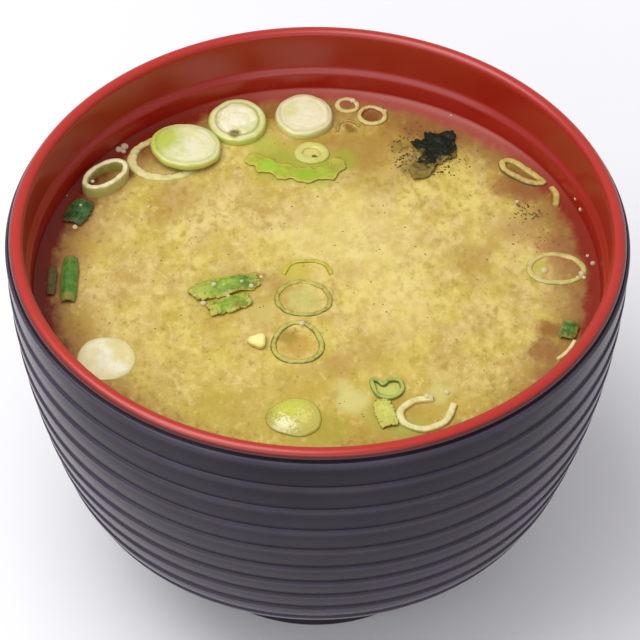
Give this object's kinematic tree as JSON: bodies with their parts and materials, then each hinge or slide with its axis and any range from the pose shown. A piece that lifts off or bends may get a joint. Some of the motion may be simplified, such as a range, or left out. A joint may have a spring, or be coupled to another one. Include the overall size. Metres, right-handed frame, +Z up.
{
  "type": "bowl of miso soup",
  "caption": "Miso soup with sliced scallions and wakame in a ribbed two-tone bowl on a foot ring, red inside and charcoal outside.",
  "frame": {"origin": "centre of the foot ring, on the table", "axes": "+Z up along the bowl's turning axis, +Y away from the side that faces the viewer, +X to the viewer's right"},
  "size_m": [0.1162, 0.1162, 0.0813],
  "materials": {
    "bowl_plastic": "satin charcoal outside with turned ribs, glossy lacquer red inside and over the lip",
    "miso_broth": "wet, cloudy yellow broth with darker specks",
    "scallion_white": "wet, cream white with a yellow-green skin",
    "scallion_pale_green": "wet, translucent yellow-green",
    "scallion_green": "wet leaf green",
    "seaweed": "wet, near-black green"
  },
  "bodies": {
    "root": {"bowl": "bowl_plastic", "soup": "miso_broth", "scallion_round_left": "scallion_white", "scallion_round_back_left": "scallion_white", "scallion_round_back": "scallion_white", "scallion_round_front_left": "scallion_white", "scallion_round_front": "scallion_pale_green", "scallion_ring_left": "scallion_pale_green", "scallion_ring_small": "scallion_pale_green", "scallion_ring_back_a": "scallion_pale_green", "scallion_ring_back_b": "scallion_pale_green", "scallion_ring_middle": "scallion_pale_green", "scallion_ring_right": "scallion_pale_green", "scallion_ring_olive": "scallion_green", "scallion_ring_kidney": "scallion_green", "scallion_ring_folded": "scallion_pale_green", "scallion_curl_front": "scallion_pale_green", "scallion_arch_middle": "scallion_pale_green", "scallion_arc_back": "scallion_pale_green", "scallion_tail_right": "scallion_pale_green", "scallion_strip_right": "scallion_pale_green", "scallion_tube": "scallion_pale_green", "scallion_chip": "scallion_white", "green_leaf_back_left": "scallion_green", "green_leaf_left": "scallion_green", "green_leaf_wall": "scallion_green", "green_leaf_middle_a": "scallion_green", "green_leaf_middle_b": "scallion_green", "green_leaf_right": "scallion_green", "green_leaf_front": "scallion_green", "green_leaf_back": "scallion_green", "wakame": "seaweed"}
  },
  "joints": []
}
